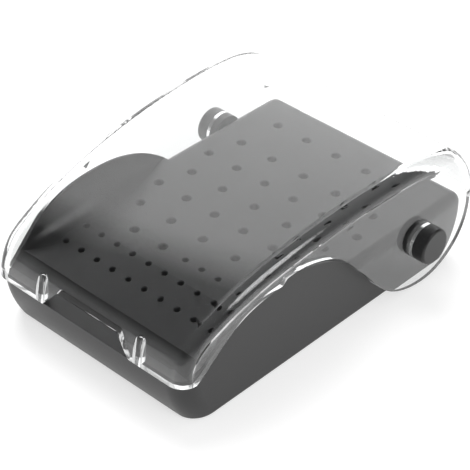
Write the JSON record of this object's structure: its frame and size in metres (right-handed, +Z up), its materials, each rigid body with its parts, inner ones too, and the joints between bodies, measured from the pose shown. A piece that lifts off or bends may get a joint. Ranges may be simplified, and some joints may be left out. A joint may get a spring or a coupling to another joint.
{
  "type": "dental bur block",
  "caption": "Drilled block that holds dental burs upright, with raised side cheeks and a clear cover that swings up on hinge pins at the rear.",
  "frame": {"origin": "middle of the footprint's width, on the table, below the middle of the drilled field", "axes": "+X across the block to its right, +Y to the rear where the hinge is, +Z up"},
  "size_m": [0.087, 0.1141, 0.0417],
  "materials": {
    "black_satin": "satin",
    "clear": "polished, clear",
    "black_pin": "fine matte"
  },
  "bodies": {
    "block": {"base": "black_satin", "hinge_pin_right": "black_pin", "hinge_pin_left": "black_pin"},
    "lid": {"cover": "clear"}
  },
  "joints": [
    {"name": "cover_hinge", "type": "hinge", "parent": "block", "child": "lid", "pos_m": [0, 0.0319, 0.0151], "axis": [-1, 0, 0], "range_deg": [0, 40]}
  ]
}
